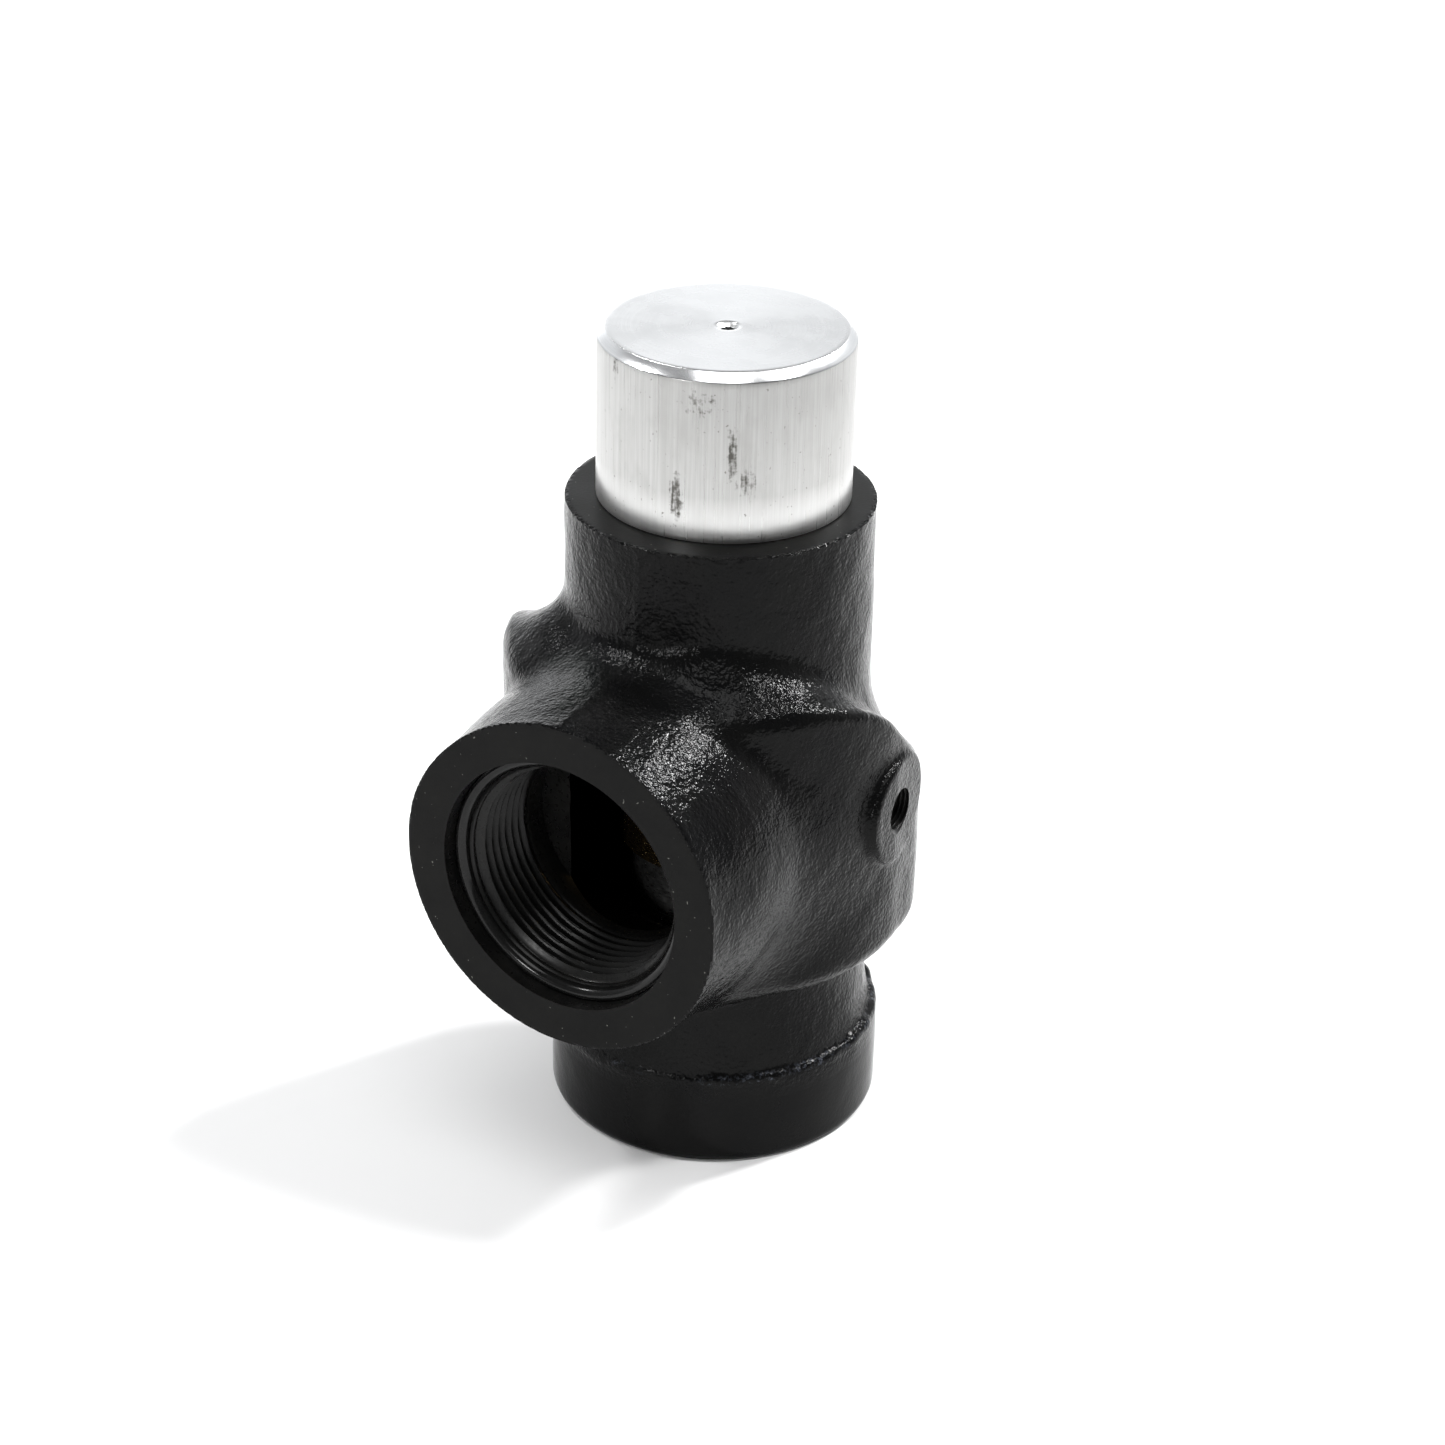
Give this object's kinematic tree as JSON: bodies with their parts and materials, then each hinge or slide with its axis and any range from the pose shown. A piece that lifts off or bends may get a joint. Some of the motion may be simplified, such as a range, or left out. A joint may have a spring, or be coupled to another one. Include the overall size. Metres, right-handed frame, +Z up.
{
  "type": "pressure relief valve",
  "caption": "Angle pressure relief valve: cast body with threaded inlet below and outlet at the side, spring-loaded piston, and a plain round cap over the setting screw.",
  "frame": {"origin": "centre of the inlet mouth, on the machined axis at the bottom face", "axes": "+Z up the valve's axis to the cap, -Y out of the outlet, +X out of the gauge port"},
  "size_m": [0.0862, 0.102, 0.1722],
  "materials": {
    "painted_casting": "semi-gloss black paint over a rough casting",
    "bare_aluminium": "drawn bar, turned end",
    "polished_steel": "ground and polished",
    "stainless_steel": "turned",
    "plated_steel": "zinc plated",
    "spring_steel": "oiled",
    "bronze": "turned bearing bronze",
    "black_rubber": "moulded",
    "white_polymer": "machined fluoropolymer"
  },
  "bodies": {
    "valve_body": {"body": "painted_casting", "seat_ring": "stainless_steel", "seat_o_ring": "black_rubber", "seat_retaining_ring": "spring_steel", "guide_sleeve": "bronze", "sleeve_o_ring": "black_rubber", "lift_stop_ring": "spring_steel", "bonnet_plug": "plated_steel", "bonnet_o_ring": "black_rubber", "lock_washer": "plated_steel", "main_spring": "spring_steel"},
    "piston_set": {"piston": "polished_steel", "seat_disc": "white_polymer", "disc_washer": "stainless_steel", "disc_screw": "stainless_steel", "piston_seal": "black_rubber", "piston_wear_ring": "white_polymer", "lower_spring_plate": "plated_steel"},
    "spring_plate_set": {"upper_spring_plate": "plated_steel", "thrust_ball": "polished_steel"},
    "setting_screw": {"adjusting_screw": "plated_steel"},
    "lock_nut": {"lock_nut": "plated_steel"},
    "cap_seal": {"cap_o_ring": "black_rubber"},
    "cap": {"cap": "bare_aluminium"}
  },
  "joints": [
    {"name": "piston_lift", "type": "slide", "parent": "valve_body", "child": "piston_set", "axis": [0, 0, 1], "range_m": [0, 0.008], "stiffness_N_per_m": 24000, "springref_m": -0.01, "deforming": ["main_spring"]},
    {"name": "setting_travel", "type": "slide", "parent": "valve_body", "child": "spring_plate_set", "axis": [0, 0, 1], "range_m": [0, 0.00292]},
    {"name": "setting_turn", "type": "hinge", "parent": "spring_plate_set", "child": "setting_screw", "pos_m": [0, 0, 0.125], "axis": [0, 0, 1], "range_deg": [0, 600]},
    {"name": "lock_nut_turn", "type": "hinge", "parent": "valve_body", "child": "lock_nut", "pos_m": [0, 0, 0.133], "axis": [0, 0, 1], "range_deg": [0, 90]},
    {"name": "cap_rise", "type": "slide", "parent": "valve_body", "child": "cap_seal", "axis": [0, 0, 1], "range_m": [0, 0.00764]},
    {"name": "cap_turn", "type": "hinge", "parent": "cap_seal", "child": "cap", "pos_m": [0, 0, 0.14], "axis": [0, 0, 1], "range_deg": [0, 1300]}
  ],
  "couplings": [
    {"joint": "setting_turn", "follows": "setting_travel", "rad_per_m": 3590.4},
    {"joint": "cap_rise", "follows": "cap_turn", "m_per_rad": 0.00033688}
  ]
}
